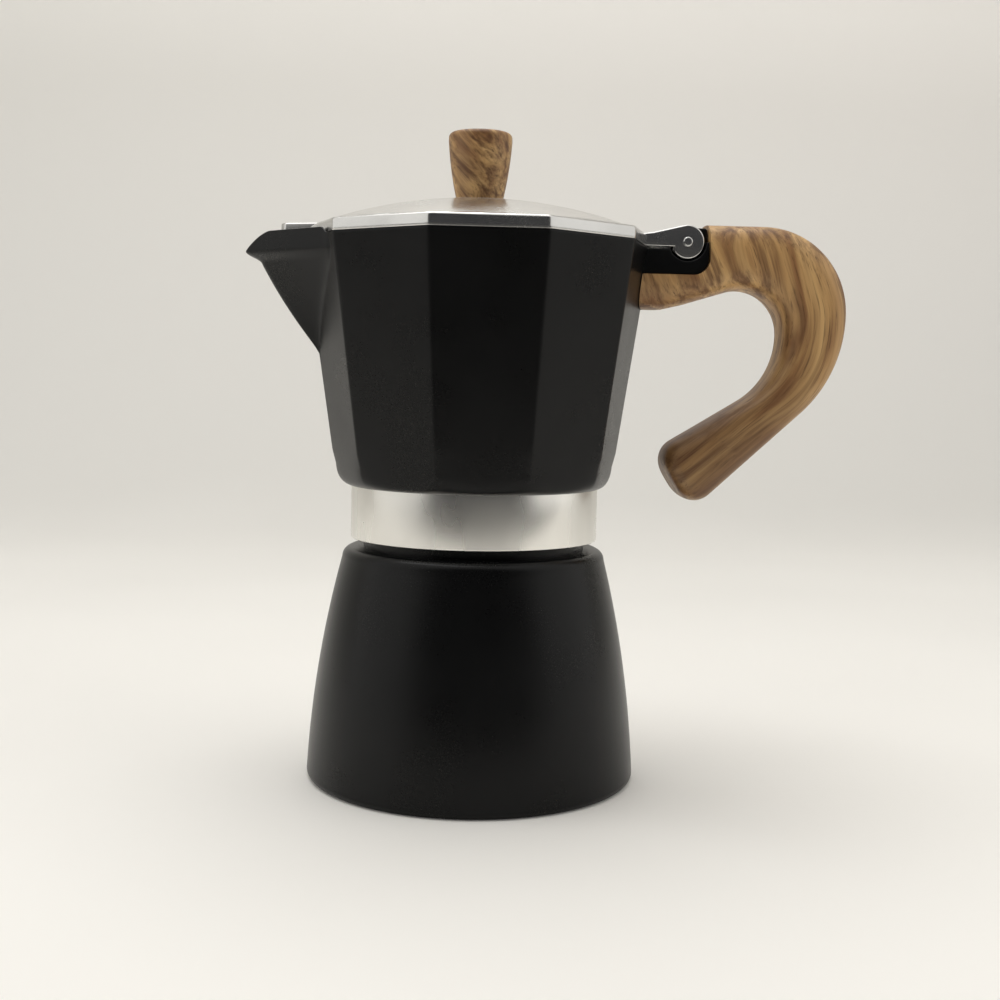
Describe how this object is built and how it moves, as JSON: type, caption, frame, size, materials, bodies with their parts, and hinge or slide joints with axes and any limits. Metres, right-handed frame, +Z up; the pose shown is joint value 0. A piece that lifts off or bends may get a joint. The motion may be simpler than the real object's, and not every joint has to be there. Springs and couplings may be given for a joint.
{
  "type": "moka pot",
  "caption": "Stovetop moka pot: black tapered boiler, bare machined ring, ten-sided black jug with spout, polished hinged lid with a wood-look knob, hooked wood-look handle.",
  "frame": {"origin": "centre of the boiler's flat underside, on the stove", "axes": "+Z up along the pot's axis, +X towards the handle, -X towards the spout, +Y towards the safety valve"},
  "size_m": [0.1863, 0.1077, 0.1997],
  "materials": {
    "black_coat": "cast aluminium with a satin black heat-resistant coat",
    "bare_aluminium": "bare machined or drawn aluminium",
    "polished_aluminium": "polished cast aluminium",
    "brass": "machined brass",
    "steel": "plated or stainless steel",
    "silicone": "matte food-grade silicone",
    "wood_print": "moulded heat-resistant plastic with a printed wood grain, satin"
  },
  "bodies": {
    "boiler_group": {"boiler": "black_coat", "valve_body": "brass", "valve_washer": "steel", "valve_cap": "steel"},
    "valve_stem": {"valve_poppet": "brass", "valve_seal": "silicone", "valve_spring": "steel"},
    "funnel_group": {"funnel": "bare_aluminium", "funnel_sieve": "bare_aluminium"},
    "seal_ring": {"gasket": "silicone"},
    "strainer": {"filter_plate": "bare_aluminium"},
    "jug_group": {"collector": "black_coat", "handle": "wood_print", "handle_screw": "steel", "hinge_pin": "steel"},
    "lid_group": {"lid": "polished_aluminium", "lid_knob": "wood_print", "knob_screw": "steel", "knob_washer": "steel"}
  },
  "joints": [
    {"name": "collector_lift", "type": "slide", "parent": "boiler_group", "child": "seal_ring", "axis": [0, 0, 1], "range_m": [0, 0.15]},
    {"name": "collector_rise", "type": "slide", "parent": "seal_ring", "child": "strainer", "axis": [0, 0, 1], "range_m": [0, 0.00701]},
    {"name": "collector_turn", "type": "hinge", "parent": "strainer", "child": "jug_group", "pos_m": [0, 0, 0.083], "axis": [0, 0, 1], "range_deg": [0, 840]},
    {"name": "lid_hinge", "type": "hinge", "parent": "jug_group", "child": "lid_group", "pos_m": [0.0634, 0, 0.1673], "axis": [0, 1, 0], "range_deg": [0, 110]},
    {"name": "funnel_lift", "type": "slide", "parent": "boiler_group", "child": "funnel_group", "axis": [0, 0, 1], "range_m": [0, 0.0751]},
    {"name": "valve_slide", "type": "slide", "parent": "boiler_group", "child": "valve_stem", "axis": [0, 1, 0], "range_m": [0, 0.0015], "stiffness_N_per_m": 600, "springref_m": -0.001}
  ],
  "couplings": [
    {"joint": "collector_rise", "follows": "collector_turn", "m_per_rad": 0.00047746},
    {"joint": "funnel_lift", "follows": "collector_lift", "ratio": 0.5}
  ]
}
